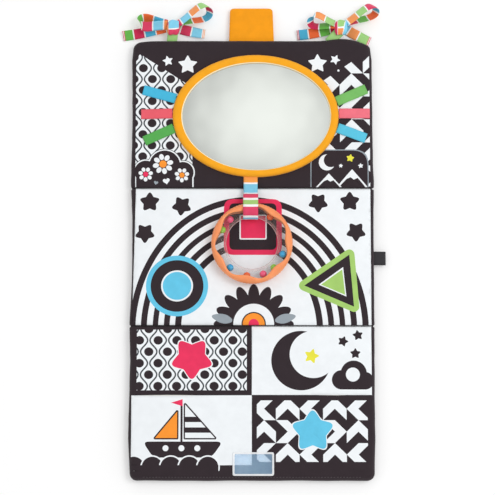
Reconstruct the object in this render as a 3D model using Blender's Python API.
"""A padded cloth play panel in three folding sections, with a mirror, a ring rattle, ribbons and a tab.

Metres, +Z up. The panel lies on its back on z = 0, +Y towards the tab and the ties and +X to its right.
The origin is the middle of the middle section's back.
"""

import math

import bmesh
import bpy
from mathutils import Vector

MM = 0.001

# Fits
FIT = 0.3 * MM  # gap between pieces that are sewn or laid together
SEWN_PIVOT = 1.5 * MM  # from a sewn edge to the line on which a tab, label or ribbon bends

# Padded panel
PANEL_WIDTH = 280 * MM
TOP_LENGTH = 173 * MM
MIDDLE_LENGTH = 160 * MM
BOTTOM_LENGTH = 176 * MM
SEAM_HEIGHT = 6.5 * MM  # height of the sewn edges and of the creases
FRONT_RISE = 7.5 * MM  # from the seam up to the front
CROWN = 1.6 * MM  # further rise in the middle of a section
FABRIC = 1.0 * MM
EDGE_ROLL = 7 * MM  # inward reach of the rounded front edge
CREASE_ROLL = 11 * MM
BACK_ROLL = 5 * MM
BACK_TAPER = 14 * MM  # slope of the back towards a crease
DRAW_IN = 1.5 * MM  # how far the sides are drawn in between the corners
CORNER_RADIUS = 10 * MM
CREASE_CORNER_RADIUS = 3 * MM
SMALLEST_RADIUS = 0.8 * MM
CREASE_CORD_RADIUS = 1.2 * MM
CREASE_GAP = CREASE_CORD_RADIUS + 0.4 * MM
CREASE_CORD_INSET = 4 * MM
BOARD = 1.5 * MM
CORNER_STEPS = 3
LONG_STEPS = 8
SHORT_STEPS = 6
ROLL_ANGLES = (0, 25, 50, 70, 90)
BACK_ANGLES = (0, 40, 90)
CROWN_INSETS = (24 * MM, 42 * MM, 62 * MM)
CROWN_SHARES = (0.45, 0.85, 1.0)

# Oval mirror on the top section
MIRROR_X = 4.4 * MM
MIRROR_ABOVE_CREASE = 84.7 * MM
MIRROR_HALF_WIDTH = 87.3 * MM  # of the part that shows
MIRROR_HALF_HEIGHT = 63.3 * MM
MIRROR_TUCK = 3 * MM  # under the rim
MIRROR_BACKING = 1.0 * MM
MIRROR_SHEET = 1.0 * MM
RIM_WIDTH = 9.2 * MM
RIM_HEIGHT = 5.6 * MM
RIM_LIP = 1.2 * MM
RIM_FOOT = 2.0 * MM
RIM_SHOULDER_SHARES = ((0.24, 0.86), (0.5, 1.0), (0.78, 0.84))
OVAL_STEPS = 56

# Ribbon tags round the rim: height on the rim from the mirror's middle, direction in degrees, length
TAG_WIDTH = 11.5 * MM
TAG_THICKNESS = 1.2 * MM
TAG_ROOT_GAP = 1.5 * MM
TAG_FOLD = 0.5 * MM
TAGS = {
    "tag_left_blue": (20.4 * MM, 164.6, 39.5 * MM),
    "tag_left_pink": (2.4 * MM, 180.0, 37.4 * MM),
    "tag_left_green": (-14.4 * MM, 203.8, 36.4 * MM),
    "tag_right_green": (17.0 * MM, 23.5, 35.6 * MM),
    "tag_right_pink": (2.9 * MM, 0.0, 36.0 * MM),
    "tag_right_blue": (-14.0 * MM, -20.6, 35.5 * MM),
}

# Fastening tab at the top edge and the clear pad that it fastens on
TAB_WIDTH = 50 * MM
TAB_LENGTH = 38.5 * MM
TAB_THICKNESS = 4.2 * MM
TAB_ROOT_THICKNESS = 1.0 * MM  # where it is sewn in
TAB_ROOT_LENGTH = 5 * MM
TAB_FULL_AT = 9 * MM  # from the root to where it has its full thickness
TAB_PUFF = 0.5 * MM
TAB_RADIUS = 4 * MM
TAB_TIP_ANGLES = (0, 30, 60, 90)
TAB_DROOP = 2.4 * MM
TAB_EDGE = 1.2 * MM
PATCH_WIDTH = 40 * MM
PATCH_LENGTH = 24 * MM
PATCH_THICKNESS = 0.8 * MM
PATCH_FROM_TIP = 5 * MM
PAD_X = 1.5 * MM
PAD_WIDTH = 47 * MM
PAD_LENGTH = 26.6 * MM
PAD_FROM_EDGE = 5.4 * MM
PAD_THICKNESS = 1.2 * MM
PAD_BORDER = 2.2 * MM
PAD_RECESS = 0.4 * MM
PAD_RADIUS = 2 * MM

# Side label
LABEL_WIDTH = 15.8 * MM
LABEL_LENGTH = 16 * MM
LABEL_THICKNESS = 1.0 * MM
LABEL_Y = -1.3 * MM
LABEL_DROOP = 1.5 * MM

# Ring rattle
RING_Y = 13.5 * MM
RING_RADIUS = 37.5 * MM  # to the middle of its tube
TUBE_RADIUS = 7.5 * MM
TUBE_WALL = 1.4 * MM
GRIP_THICKNESS = 1.5 * MM
GRIP_LOBES = 7
GRIP_LOBE_AT = 4  # degrees
GRIP_REACH = 69  # degrees round the tube on each side of the outermost line
GRIP_WAVE = 17  # degrees
BEAD_RADIUS = 4.1 * MM
RING_STEPS = 42
TUBE_STEPS = 6
GRIP_STEPS = 56
GRIP_ARC_STEPS = 6
BEADS = {
    "bead_orange_upper": 56,
    "bead_pink_left": 132,
    "bead_green_left": 155,
    "bead_blue_left": 228,
    "bead_orange_lower": 261,
    "bead_pink_lower": 290,
    "bead_green_lower": 312,
    "bead_blue_right": 341,
}
BEAD_SEGMENTS = 12
BEAD_RINGS = 8

# Strap
STRAP_WIDTH = 17 * MM
STRAP_THICKNESS = 1.2 * MM
STRAP_ROOT_GAP = 1.5 * MM  # from the rim, under which the strap is sewn
LOOP_THICKNESS = 0.9 * MM
LOOP_CLEARANCE = 0.6 * MM  # round the ring, which turns in the loop
LOOP_APEX_REACH = 20 * MM  # from the middle of the tube to the stitching
LOOP_APEX_DROP = 3 * MM
LOOP_STEPS = 14
STRAP_ARCH_SHARES = ((0.35, 0.1), (0.7, 0.5))

# Ribbon ties
RIBBON_WIDTH = 12 * MM
RIBBON_THICKNESS = 0.6 * MM
ROOT_THICKNESS = 1.2 * MM
KNOT_HEIGHT = 11 * MM
KNOT_HALF = (8 * MM, 6.5 * MM, 5 * MM)
KNOT_FROM_EDGE = 18 * MM
KNOT_SEGMENTS = 14
KNOT_RINGS = 8
KNOT_ROOT_DROP = 1.25 * MM  # from the knot's middle to where the root ribbon meets it
BOW_START = 7.4 * MM  # from the knot's middle to the loops' ends
LOOP_LEAN = 50  # degrees from upright of the ribbon's width in a bow's loop
RIBBON_LOOP_STEPS = 18
RIBBON_TAIL_STEPS = 3  # between two places of a tail's profile

# Profile of the tails: shares of the way from the knot to the end, and heights there
TAIL_SHARES = (0, 0.13, 0.5, 1)
TAIL_HEIGHTS = (5.3 * MM, 2.1 * MM, 2.4 * MM, 1.6 * MM)

# The two ties: the side that they are on, how far in from that side's edge the knot and the root lie, each
# loop's direction in degrees, length, opening and colour, and each tail's start and end across and up from
# the knot, with its colour
TIES = {
    "left_tie": {
        "side": -1,
        "knot_from_side": 48 * MM,
        "root_from_side": 45.5 * MM,
        "loops": {"left": (171, 40 * MM, 17 * MM, "blue"), "right": (27, 47 * MM, 19 * MM, "orange")},
        "tails": {
            "left": (-2.5 * MM, -1.0 * MM, -60 * MM, -14 * MM, "pink"),
            "right": (1.5 * MM, -1.5 * MM, 39 * MM, -10 * MM, "pink"),
        },
    },
    "right_tie": {
        "side": 1,
        "knot_from_side": 35.5 * MM,
        "root_from_side": 43 * MM,
        "loops": {"left": (164, 41 * MM, 17 * MM, "blue"), "right": (26, 47 * MM, 18 * MM, "green")},
        "tails": {
            "left": (-2.5 * MM, -2 * MM, -51 * MM, -13 * MM, "orange"),
            "right": (2 * MM, -1.5 * MM, 34.5 * MM, -14 * MM, "orange"),
        },
    },
}

# How the shapes are drawn
MERGE_DISTANCE = 0.0001 * MM
SHARP_ANGLE = 40  # degrees
PLATE_STEPS = 4
CORD_SIDES = 8
HALVINGS = 40

COLOURS = {
    "black": (0.055, 0.045, 0.05),
    "white": (0.86, 0.89, 0.9),
    "orange": (0.93, 0.43, 0.03),
    "clear_orange": (0.95, 0.45, 0.2),
    "blue": (0.1, 0.53, 0.73),
    "pink": (0.82, 0.1, 0.2),
    "green": (0.16, 0.47, 0.12),
    "board": (0.5, 0.4, 0.28),
    "foam": (0.8, 0.8, 0.76),
    "mirror": (0.8, 0.82, 0.8),
    "clear": (0.85, 0.88, 0.9),
    "clear_pad": (0.6, 0.72, 0.8),
}
ROUGHNESS = {"mirror": 0.05, "clear": 0.1, "clear_pad": 0.25}


def clear_scene():
    for old in list(bpy.data.objects):
        bpy.data.objects.remove(old)


def material(name, colour):
    """A material of its own for each sub-part."""
    made = bpy.data.materials.new(name)
    made.use_nodes = True
    shader = made.node_tree.nodes["Principled BSDF"]
    shader.inputs["Base Color"].default_value = (*COLOURS[colour], 1)
    shader.inputs["Roughness"].default_value = ROUGHNESS.get(colour, 0.8)
    shader.inputs["Metallic"].default_value = 1 if colour == "mirror" else 0
    return made


def finish(name, bm, colour, origin=Vector()):
    """Turn a bmesh in world places into an object whose own origin is at origin."""
    bmesh.ops.remove_doubles(bm, verts=bm.verts, dist=MERGE_DISTANCE)
    bmesh.ops.recalc_face_normals(bm, faces=bm.faces)
    bmesh.ops.translate(bm, verts=bm.verts, vec=-origin)
    mesh = bpy.data.meshes.new(name)
    bm.to_mesh(mesh)
    bm.free()
    mesh.shade_smooth()
    mesh.set_sharp_from_angle(angle=math.radians(SHARP_ANGLE))
    made = bpy.data.objects.new(name, mesh)
    made.location = origin
    mesh.materials.append(material(name, colour))
    bpy.context.collection.objects.link(made)
    return made


def skin(name, loops, colour, origin=Vector()):
    """A closed body through loops with as many points each, capped at its first and last loop."""
    bm = bmesh.new()
    rows = [[bm.verts.new(p) for p in loop] for loop in loops]
    for low, high in zip(rows, rows[1:]):
        for i in range(len(low)):
            bm.faces.new((low[i - 1], low[i], high[i], high[i - 1]))
    bm.faces.new(rows[0])
    bm.faces.new(rows[-1])
    return finish(name, bm, colour, origin)


def hoop(name, sections, colour, origin=Vector()):
    """A closed body through cross-sections that meet again after the last."""
    bm = bmesh.new()
    rows = [[bm.verts.new(p) for p in section] for section in sections]
    for here, there in zip(rows, rows[1:] + rows[:1]):
        for i in range(len(here)):
            bm.faces.new((here[i - 1], here[i], there[i], there[i - 1]))
    return finish(name, bm, colour, origin)


def carried(name, place, pieces):
    """An empty at a joint's place, which carries pieces without moving them."""
    empty = bpy.data.objects.new(name, None)
    empty.location = place
    bpy.context.collection.objects.link(empty)
    bpy.context.view_layer.update()
    for piece in pieces:
        piece.parent = empty
        piece.location = piece.location - place
    return empty


def rounded(half_width, low, high, low_radius, high_radius, long_steps=1, short_steps=1):
    """A rounded rectangle's points from its lower right corner round, the corners as arcs."""
    corners = (
        (1, low, low_radius, -90),
        (1, high, high_radius, 0),
        (-1, high, high_radius, 90),
        (-1, low, low_radius, 180),
    )
    arcs = []
    for side, y, radius, start in corners:
        centre = Vector((side * (half_width - radius), y + (radius if y == low else -radius)))
        angles = [math.radians(start + 90 * i / CORNER_STEPS) for i in range(CORNER_STEPS + 1)]
        arcs.append([centre + radius * Vector((math.cos(a), math.sin(a))) for a in angles])
    points = []
    for k, arc in enumerate(arcs):
        after = arcs[(k + 1) % len(arcs)][0]
        steps = short_steps if k % 2 == 0 else long_steps
        points += arc + [arc[-1].lerp(after, i / steps) for i in range(1, steps)]
    return points


class Section:
    """One padded section: its place along Y, which of its ends fold, and how much its front is crowned."""

    def __init__(self, name, low, high, folds_below, folds_above, crown, colour):
        self.name = name
        self.low = low
        self.high = high
        self.folds_below = folds_below
        self.folds_above = folds_above
        self.crown = crown
        self.colour = colour

    def outline(self, free, fold, z):
        """The plan outline, moved in from the free edges and from the creases, at height z."""
        low = self.low + (fold if self.folds_below else free)
        high = self.high - (fold if self.folds_above else free)
        low_radius = CREASE_CORNER_RADIUS if self.folds_below else CORNER_RADIUS
        high_radius = CREASE_CORNER_RADIUS if self.folds_above else CORNER_RADIUS
        points = rounded(
            PANEL_WIDTH / 2 - free,
            low,
            high,
            max(low_radius - free / 2, SMALLEST_RADIUS),
            max(high_radius - free / 2, SMALLEST_RADIUS),
            LONG_STEPS,
            SHORT_STEPS,
        )
        return [Vector((x * self.drawn(y), y, z)) for x, y in points]

    def drawn(self, y):
        """The share of its width that the section keeps at y, where its sides are drawn in."""
        along = (2 * y - self.low - self.high) / (self.high - self.low)
        return 1 - DRAW_IN * (1 - along * along) / (PANEL_WIDTH / 2)

    def front_rows(self, wall):
        """Inset from free edges, inset from creases and height, from the seam up, wall inside the front."""
        rows = []
        for angle in map(math.radians, ROLL_ANGLES):
            inward = 1 - math.cos(angle)
            free = wall + (EDGE_ROLL - wall) * inward
            fold = CREASE_GAP + wall + (CREASE_ROLL - CREASE_GAP - wall) * inward
            z = SEAM_HEIGHT + max(FIT / 2, (FRONT_RISE - wall) * math.sin(angle))
            rows.append((free, fold, z))
        if self.crown:
            for inset, share in zip(CROWN_INSETS, CROWN_SHARES):
                rows.append((inset, inset, SEAM_HEIGHT + FRONT_RISE - wall + self.crown * share))
        return rows

    def back_row(self, wall, z):
        """The same for a height z below the seam, wall inside the back."""
        sine = min((SEAM_HEIGHT - z) / (SEAM_HEIGHT - wall), 1)
        free = wall + (BACK_ROLL - wall) * (1 - math.sqrt(1 - sine * sine))
        run = BACK_TAPER - CREASE_GAP
        slant = math.hypot(run, SEAM_HEIGHT) / SEAM_HEIGHT
        fold = CREASE_GAP + run * (SEAM_HEIGHT - z) / SEAM_HEIGHT + wall * slant
        return free, fold, z

    def back_rows(self, wall):
        heights = [(SEAM_HEIGHT - wall) * math.sin(math.radians(a)) for a in BACK_ANGLES]
        return [self.back_row(wall, SEAM_HEIGHT - max(FIT / 2, h)) for h in heights]

    def front_height(self, y):
        """Height of the front on the section's middle line at y."""
        below, above = y - self.low, self.high - y
        folded = self.folds_below if below < above else self.folds_above
        at = min(below, above)
        rows = [(fold if folded else free, z) for free, fold, z in self.front_rows(0)]
        for (a, za), (b, zb) in zip(rows, rows[1:]):
            if at <= b:
                return za + (zb - za) * max(at - a, 0) / (b - a)
        return rows[-1][1]

    def build(self):
        """The section's covers, padding and board."""
        sheath = FABRIC + FIT
        front = self.front_rows(0)[::-1] + self.front_rows(FABRIC)
        back = self.back_rows(0)[::-1] + self.back_rows(FABRIC)
        board_low = FABRIC + FIT
        board_inset = self.back_row(FABRIC + FIT, board_low)[1]
        board_rows = [(BACK_ROLL + FIT, board_inset + FIT, z) for z in (board_low, board_low + BOARD)]
        pad_low = board_low + BOARD + FIT
        padding = [self.back_row(sheath, z) for z in (pad_low, SEAM_HEIGHT)] + self.front_rows(sheath)[1:]
        return [
            self.shape("front_cover", front, self.colour),
            self.shape("back_cover", back, "black"),
            self.shape("padding", padding, "foam"),
            self.shape("stiffener", board_rows, "board"),
        ]

    def shape(self, kind, rows, colour):
        return skin(f"{self.name}_{kind}", [self.outline(*row) for row in rows], colour)


UPPER_CREASE = MIDDLE_LENGTH / 2
LOWER_CREASE = -MIDDLE_LENGTH / 2
TOP_EDGE = UPPER_CREASE + TOP_LENGTH
BOTTOM_EDGE = LOWER_CREASE - BOTTOM_LENGTH
FRONT_HEIGHT = SEAM_HEIGHT + FRONT_RISE
TOP = Section("top", UPPER_CREASE, TOP_EDGE, True, False, 0, "black")
MIDDLE = Section("middle", LOWER_CREASE, UPPER_CREASE, True, True, CROWN, "white")
BOTTOM = Section("bottom", BOTTOM_EDGE, LOWER_CREASE, False, True, CROWN, "black")


def crease_cord(name, y):
    """The stitched roll of cloth along a crease."""
    half = PANEL_WIDTH / 2 - CREASE_CORD_INSET
    loops = []
    for x in (-half, half):
        turns = [math.tau * i / CORD_SIDES for i in range(CORD_SIDES)]
        reach = [CREASE_CORD_RADIUS * Vector((0, math.cos(a), math.sin(a))) for a in turns]
        loops.append([Vector((x, y, SEAM_HEIGHT)) + r for r in reach])
    return skin(name, loops, "black")


# Mirror
MIRROR_CENTRE = Vector((MIRROR_X, UPPER_CREASE + MIRROR_ABOVE_CREASE, 0))
BACKING_LOW = FRONT_HEIGHT + FIT
SHEET_LOW = BACKING_LOW + MIRROR_BACKING + FIT
SHEET_TOP = SHEET_LOW + MIRROR_SHEET
RIM_LOW = FRONT_HEIGHT + FIT


def oval_point(angle, outward, z):
    """A point at an angle round the mirror's visible edge, moved outward along that edge's normal."""
    on = Vector((MIRROR_HALF_WIDTH * math.cos(angle), MIRROR_HALF_HEIGHT * math.sin(angle), 0))
    normal = Vector((math.cos(angle) / MIRROR_HALF_WIDTH, math.sin(angle) / MIRROR_HALF_HEIGHT, 0))
    return MIRROR_CENTRE + on + outward * normal.normalized() + Vector((0, 0, z))


def oval_plate(name, low, high, colour):
    angles = [math.tau * i / OVAL_STEPS for i in range(OVAL_STEPS)]
    return skin(name, [[oval_point(a, MIRROR_TUCK, z) for a in angles] for z in (low, high)], colour)


def mirror_rim():
    """A padded binding whose inner lip lies over the mirror's edge."""
    lip_low = SHEET_TOP + FIT
    step = MIRROR_TUCK + FIT
    profile = [(0, lip_low), (0, lip_low + RIM_LIP)]
    profile += [(RIM_WIDTH * a, RIM_LOW + RIM_HEIGHT * h) for a, h in RIM_SHOULDER_SHARES]
    profile += [(RIM_WIDTH, RIM_LOW + RIM_FOOT), (RIM_WIDTH, RIM_LOW), (step, RIM_LOW), (step, lip_low)]
    angles = [math.tau * i / OVAL_STEPS for i in range(OVAL_STEPS)]
    return hoop("mirror_rim", [[oval_point(a, s, z) for s, z in profile] for a in angles], "orange")


def rim_outer(height):
    """The point of the rim's outer edge on its right half at a height from the mirror's middle."""
    low, high = -math.pi / 2, math.pi / 2
    for _ in range(HALVINGS):
        middle = (low + high) / 2
        if oval_point(middle, RIM_WIDTH, 0).y - MIRROR_CENTRE.y < height:
            low = middle
        else:
            high = middle
    return oval_point(low, RIM_WIDTH, 0)


def tag(name, height, direction, length):
    """A folded ribbon that lies out from the rim, carried at its root."""
    along = Vector((math.cos(math.radians(direction)), math.sin(math.radians(direction)), 0))
    base = rim_outer(height)
    if along.x < 0:
        base.x = 2 * MIRROR_CENTRE.x - base.x
    across = Vector((-along.y, along.x, 0)) * TAG_WIDTH / 2
    low = FRONT_HEIGHT + FIT
    root = base + along * TAG_ROOT_GAP
    profile = [
        (0, low),
        (length - TAG_FOLD, low),
        (length, low + TAG_FOLD),
        (length, low + TAG_THICKNESS - TAG_FOLD),
        (length - TAG_FOLD, low + TAG_THICKNESS),
        (0, low + TAG_THICKNESS),
    ]
    loops = [
        [root + side * across + along * s + Vector((0, 0, z)) for s, z in profile] for side in (-1, 1)
    ]
    place = root + along * FIT + Vector((0, 0, low + TAG_THICKNESS / 2))
    return carried(f"{name}_hinge", place, [skin(name, loops, name.split("_")[-1])])


def plate(name, x, half_width, low, high, radius, rows, colour, drop=lambda y: 0):
    """A rounded plate from rows of inset and height, each point lowered by what drop gives at its y."""
    loops = []
    for inset, z in rows:
        near = max(radius - inset, SMALLEST_RADIUS)
        sides = (half_width - inset, low + inset, high - inset)
        points = rounded(*sides, near, near, PLATE_STEPS, PLATE_STEPS)
        loops.append([Vector((x + p.x, p.y, z - drop(p.y))) for p in points])
    return skin(name, loops, colour)


def fastening_tab():
    """A puffy flap, thin where it is sewn in, hanging a little, with a soft patch on its underside."""
    root = TOP_EDGE + FIT
    slope = TAB_DROOP / TAB_LENGTH
    half = TAB_THICKNESS / 2
    thin = TAB_ROOT_THICKNESS / 2

    def droop(y):
        return slope * (y - root)

    stations = [(0, 0, thin, 0), (TAB_ROOT_LENGTH, 0, thin, 0), (TAB_FULL_AT, 0, half, 0)]
    stations.append((TAB_LENGTH / 2, 0, half, TAB_PUFF))
    for angle in map(math.radians, TAB_TIP_ANGLES):
        along = TAB_LENGTH - TAB_RADIUS * (1 - math.sin(angle))
        stations.append((along, TAB_RADIUS * (1 - math.cos(angle)), half * math.cos(angle / 2), 0))
    loops = []
    for along, inset, thick, puff in stations:
        wide = TAB_WIDTH / 2 - inset
        edge = wide - TAB_EDGE
        right = [(edge, -thick), (wide, -thick / 2), (wide, thick / 2), (edge, thick)]
        right.append((wide / 2, thick + puff))
        outline = right + [(-x, z) for x, z in reversed(right)]
        y = root + along
        loops.append([Vector((x, y, SEAM_HEIGHT + z - droop(y))) for x, z in outline])
    flap = skin("tab", loops, "orange")
    patch_top = SEAM_HEIGHT - half - FIT
    patch_high = root + TAB_LENGTH - PATCH_FROM_TIP
    patch = plate(
        "tab_patch",
        0,
        PATCH_WIDTH / 2,
        patch_high - PATCH_LENGTH,
        patch_high,
        SMALLEST_RADIUS,
        [(0, patch_top - PATCH_THICKNESS), (0, patch_top)],
        "white",
        droop,
    )
    return carried("tab_hinge", Vector((0, TOP_EDGE + SEWN_PIVOT, SEAM_HEIGHT)), [flap, patch])


def fastener_pad():
    """The clear pad welded to the bottom section, with a raised border, following the front's curve."""
    low = BOTTOM_EDGE + PAD_FROM_EDGE
    rows = [
        (0, FIT),
        (0, FIT + PAD_THICKNESS),
        (PAD_BORDER, FIT + PAD_THICKNESS),
        (PAD_BORDER, FIT + PAD_THICKNESS - PAD_RECESS),
    ]
    return plate(
        "fastener_pad",
        PAD_X,
        PAD_WIDTH / 2,
        low,
        low + PAD_LENGTH,
        PAD_RADIUS,
        rows,
        "clear_pad",
        lambda y: -BOTTOM.front_height(y),
    )


def side_label():
    """A bare folded label sewn into the right edge."""
    edge = PANEL_WIDTH / 2 * MIDDLE.drawn(LABEL_Y)
    root = edge + FIT
    half = LABEL_THICKNESS / 2
    far = root + LABEL_LENGTH
    sunk = SEAM_HEIGHT - LABEL_DROOP
    loops = []
    for y in (LABEL_Y - LABEL_WIDTH / 2, LABEL_Y + LABEL_WIDTH / 2):
        near_edge = [Vector((root, y, SEAM_HEIGHT + half)), Vector((root, y, SEAM_HEIGHT - half))]
        far_edge = [Vector((far, y, sunk - half)), Vector((far, y, sunk + half))]
        loops.append(near_edge + far_edge)
    label = skin("side_label", loops, "black")
    return carried("label_hinge", Vector((edge + SEWN_PIVOT, LABEL_Y, SEAM_HEIGHT)), [label])


# The ring lies on the strap's loop, which lies on the middle section
TUBE_TOP = TUBE_RADIUS + GRIP_THICKNESS + FIT
LOOP_HALF_HEIGHT = TUBE_TOP + LOOP_CLEARANCE
TUBE_Y = RING_Y + RING_RADIUS
RING_HEIGHT = MIDDLE.front_height(TUBE_Y) + FIT + LOOP_THICKNESS + LOOP_HALF_HEIGHT
RING_CENTRE = Vector((0, RING_Y, RING_HEIGHT))
CHORD_SAG = RING_RADIUS - math.sqrt(RING_RADIUS**2 - (STRAP_WIDTH / 2) ** 2)
LOOP_HALF_DEPTH = TUBE_RADIUS + CHORD_SAG + LOOP_CLEARANCE
LOOP_APEX = Vector((0, TUBE_Y + LOOP_APEX_REACH, RING_HEIGHT - LOOP_APEX_DROP))
LOOP_STITCHING = Vector((0, 2 * LOOP_THICKNESS, 0))  # the two layers of the loop at its apex


def ring_point(turn, radius, round_tube):
    """A point radius from the tube's middle: turn goes round the ring, round_tube round its tube."""
    reach = RING_RADIUS + radius * math.cos(round_tube)
    height = radius * math.sin(round_tube)
    return RING_CENTRE + Vector((reach * math.cos(turn), reach * math.sin(turn), height))


def ring_half(name, side):
    """One half of the clear tube, split level."""
    part = FIT / 2 / TUBE_RADIUS
    arc = [side * (part + (math.pi - 2 * part) * i / TUBE_STEPS) for i in range(TUBE_STEPS + 1)]
    inner = TUBE_RADIUS - TUBE_WALL
    sections = []
    for k in range(RING_STEPS):
        turn = math.tau * k / RING_STEPS
        outside = [ring_point(turn, TUBE_RADIUS, a) for a in arc]
        inside = [ring_point(turn, inner, a) for a in reversed(arc)]
        inside[0].z = outside[-1].z
        inside[-1].z = outside[0].z
        sections.append(outside + inside)
    return hoop(name, sections, "clear", RING_CENTRE)


def ring_grip():
    """A soft band round the ring's outside, whose edges wave in lobes."""
    widest = math.radians(GRIP_REACH + GRIP_WAVE) / GRIP_ARC_STEPS
    inner = (TUBE_RADIUS + FIT) / math.cos(widest)
    outer = TUBE_RADIUS + FIT + GRIP_THICKNESS
    sections = []
    for k in range(GRIP_STEPS):
        turn = math.tau * k / GRIP_STEPS
        wave = math.cos(GRIP_LOBES * (turn - math.radians(GRIP_LOBE_AT)))
        reach = math.radians(GRIP_REACH + GRIP_WAVE * wave)
        arc = [reach * (2 * i / GRIP_ARC_STEPS - 1) for i in range(GRIP_ARC_STEPS + 1)]
        outside = [ring_point(turn, outer, a) for a in arc]
        inside = [ring_point(turn, inner, a) for a in reversed(arc)]
        sections.append(outside + inside)
    return hoop("ring_grip", sections, "clear_orange", RING_CENTRE)


def bead(name, degrees):
    """A bead on the floor of the ring's channel, whose origin is the ring's middle."""
    turn = math.radians(degrees)
    lie = TUBE_RADIUS - TUBE_WALL - BEAD_RADIUS - FIT
    bm = bmesh.new()
    bmesh.ops.create_uvsphere(bm, u_segments=BEAD_SEGMENTS, v_segments=BEAD_RINGS, radius=BEAD_RADIUS)
    place = Vector((RING_RADIUS * math.cos(turn), RING_RADIUS * math.sin(turn), -lie))
    bmesh.ops.translate(bm, verts=bm.verts, vec=RING_CENTRE + place)
    return finish(name, bm, name.split("_")[1] if "orange" not in name else "orange", RING_CENTRE)


def strap_upper():
    """The sewn part of the strap, from the rim to the stitching above the ring."""
    start = strap_start()
    end = LOOP_APEX + Vector((0, LOOP_THICKNESS + FIT, 0))
    points = [start]
    for along, rise in STRAP_ARCH_SHARES:
        points.append(Vector((0, start.y + (end.y - start.y) * along, start.z + (end.z - start.z) * rise)))
    points.append(end)
    return band("strap", points, Vector((1, 0, 0)), STRAP_WIDTH, STRAP_THICKNESS, "blue")


def strap_start():
    """The middle of the strap's upper end, a little below the rim."""
    rim_bottom = oval_point(-math.pi / 2, RIM_WIDTH, 0).y
    return Vector((0, rim_bottom - STRAP_ROOT_GAP, FRONT_HEIGHT + FIT + STRAP_THICKNESS / 2))


def loop_profile(half_depth, half_height, apex):
    """Points in YZ round the tube from the apex and back, straight to the oval and round its far side."""
    grow = 1 / math.cos(math.pi / LOOP_STEPS)
    half_depth *= grow
    half_height *= grow
    to = Vector(((apex.y - TUBE_Y) / half_depth, (apex.z - RING_HEIGHT) / half_height))
    middle = math.atan2(to.y, to.x)
    spread = math.acos(1 / to.length)
    points = [(apex.y, apex.z)]
    for i in range(LOOP_STEPS + 1):
        a = middle + spread + (math.tau - 2 * spread) * i / LOOP_STEPS
        points.append((TUBE_Y + half_depth * math.cos(a), RING_HEIGHT + half_height * math.sin(a)))
    return points


def strap_loop():
    """The doubled end of the strap, round the ring's tube."""
    inside = loop_profile(LOOP_HALF_DEPTH, LOOP_HALF_HEIGHT, LOOP_APEX - LOOP_STITCHING)
    outside = loop_profile(LOOP_HALF_DEPTH + LOOP_THICKNESS, LOOP_HALF_HEIGHT + LOOP_THICKNESS, LOOP_APEX)
    half = STRAP_WIDTH / 2
    sections = []
    for within, without in zip(inside, outside):
        outer_edge = [Vector((x, *without)) for x in (-half, half)]
        inner_edge = [Vector((x, *within)) for x in (half, -half)]
        sections.append(outer_edge + inner_edge)
    return hoop("strap_loop", sections, "green")


def band(name, points, across, width, thickness, colour, sheared=False):
    """A flat ribbon through points, its width along across: exactly if sheared, else square to its path."""
    sections = []
    for i, p in enumerate(points):
        along = (points[min(i + 1, len(points) - 1)] - points[max(i - 1, 0)]).normalized()
        side = across[i] if isinstance(across, list) else across
        if not sheared:
            side = side - along * side.dot(along)
        side = side.normalized() * width / 2
        up = along.cross(side).normalized() * thickness / 2
        sections.append([p - side - up, p + side - up, p + side + up, p - side + up])
    return skin(name, sections, colour)


def smooth(points, steps):
    """Points along a smooth curve through the given ones."""
    padded = [2 * points[0] - points[1]] + points + [2 * points[-1] - points[-2]]
    out = []
    for a, b, c, d in zip(padded, padded[1:], padded[2:], padded[3:]):
        bend = 2 * a - 5 * b + 4 * c - d
        twist = 3 * b - a - 3 * c + d
        for i in range(steps):
            t = i / steps
            out.append((2 * b + (c - a) * t + bend * t**2 + twist * t**3) / 2)
    return out + [points[-1]]


def bow_loop(name, knot, direction, length, opening, colour):
    """A bow's loop: a teardrop in a leaning plane, whose near pass lies higher than its far one."""
    out = Vector((math.cos(math.radians(direction)), math.sin(math.radians(direction)), 0))
    side = Vector((-out.y, out.x, 0))
    if side.y < 0:
        side = -side
    lean = math.radians(LOOP_LEAN)
    up = Vector((0, 0, 1))
    across = side * math.cos(lean) + up * math.sin(lean)
    over = side * math.sin(lean) - up * math.cos(lean)
    first = math.asin(BOW_START / length) / math.pi
    points = []
    for i in range(RIBBON_LOOP_STEPS + 1):
        t = first + (1 - 2 * first) * i / RIBBON_LOOP_STEPS
        reach = length * math.sin(math.pi * t)
        swing = opening / 2 * math.sin(math.tau * t)
        points.append(knot + out * reach + over * swing)
    return band(name, points, across, RIBBON_WIDTH, RIBBON_THICKNESS, colour)


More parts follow.
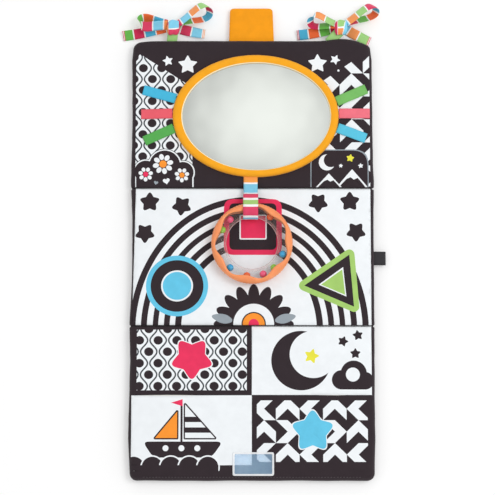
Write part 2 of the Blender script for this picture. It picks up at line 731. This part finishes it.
class Tie:
    """A ribbon tie knotted as a bow at the top edge."""

    def __init__(self, name, side, knot_from_side, root_from_side, loops, tails):
        self.name = name
        knot_x = side * (PANEL_WIDTH / 2 - knot_from_side)
        root_x = side * (PANEL_WIDTH / 2 - root_from_side)
        self.knot = Vector((knot_x, TOP_EDGE + KNOT_FROM_EDGE, KNOT_HEIGHT))
        self.root = Vector((root_x, TOP_EDGE + FIT, SEAM_HEIGHT))
        self.loops = loops
        self.tails = tails

    def build(self):
        pieces = [self.build_knot(), self.build_root()]
        for kind, loop in self.loops.items():
            pieces.append(bow_loop(f"{self.name}_loop_{kind}", self.knot, *loop))
        pieces += [self.build_tail(kind, *tail) for kind, tail in self.tails.items()]
        pivot = Vector((self.root.x, TOP_EDGE + SEWN_PIVOT, SEAM_HEIGHT))
        carried(f"{self.name}_hinge", pivot, pieces)

    def build_knot(self):
        bm = bmesh.new()
        bmesh.ops.create_uvsphere(bm, u_segments=KNOT_SEGMENTS, v_segments=KNOT_RINGS, radius=1)
        for v in bm.verts:
            v.co = Vector([c * h for c, h in zip(v.co, KNOT_HALF)]) + self.knot
        return finish(f"{self.name}_knot", bm, "blue")

    def build_root(self):
        end = self.knot + Vector((0, -KNOT_HALF[1] - FIT, -KNOT_ROOT_DROP))
        points = [self.root, (self.root + end) / 2, end]
        size = (RIBBON_WIDTH, ROOT_THICKNESS)
        return band(f"{self.name}_root", points, Vector((1, 0, 0)), *size, "green", sheared=True)

    def build_tail(self, kind, start_x, start_y, end_x, end_y, colour):
        """A tail from the knot outwards, hinged at its start."""
        start = Vector((self.knot.x + start_x, self.knot.y + start_y, 0))
        end = Vector((self.knot.x + end_x, self.knot.y + end_y, 0))
        profile = zip(TAIL_SHARES, TAIL_HEIGHTS)
        places = [start.lerp(end, share) + Vector((0, 0, z)) for share, z in profile]
        across = Vector((0, 0, 1)).cross(end - start)
        points = smooth(places, RIBBON_TAIL_STEPS)
        piece = band(f"{self.name}_tail_{kind}", points, across, RIBBON_WIDTH, RIBBON_THICKNESS, colour)
        return carried(f"{self.name}_tail_{kind}_hinge", places[0], [piece])


def main():
    clear_scene()
    for section in (TOP, MIDDLE, BOTTOM):
        pieces = section.build()
        if section is TOP:
            carried("top_hinge", Vector((0, UPPER_CREASE, SEAM_HEIGHT)), pieces)
        if section is BOTTOM:
            carried("bottom_hinge", Vector((0, LOWER_CREASE, SEAM_HEIGHT)), pieces)
    crease_cord("upper_crease_seam", UPPER_CREASE)
    crease_cord("lower_crease_seam", LOWER_CREASE)
    oval_plate("mirror_backing", BACKING_LOW, BACKING_LOW + MIRROR_BACKING, "foam")
    oval_plate("mirror_sheet", SHEET_LOW, SHEET_TOP, "mirror")
    mirror_rim()
    for name, (height, direction, length) in TAGS.items():
        tag(name, height, direction, length)
    fastening_tab()
    fastener_pad()
    side_label()
    carried("strap_hinge", strap_start() - Vector((0, FIT, 0)), [strap_upper()])
    carried("loop_hinge", LOOP_APEX + Vector((0, LOOP_THICKNESS, 0)), [strap_loop()])
    pieces = [ring_half("ring_front", 1), ring_half("ring_back", -1), ring_grip()]
    pieces += [bead(name, degrees) for name, degrees in BEADS.items()]
    carried("ring_axis", RING_CENTRE, pieces)
    for name, tie in TIES.items():
        Tie(name, **tie).build()


main()
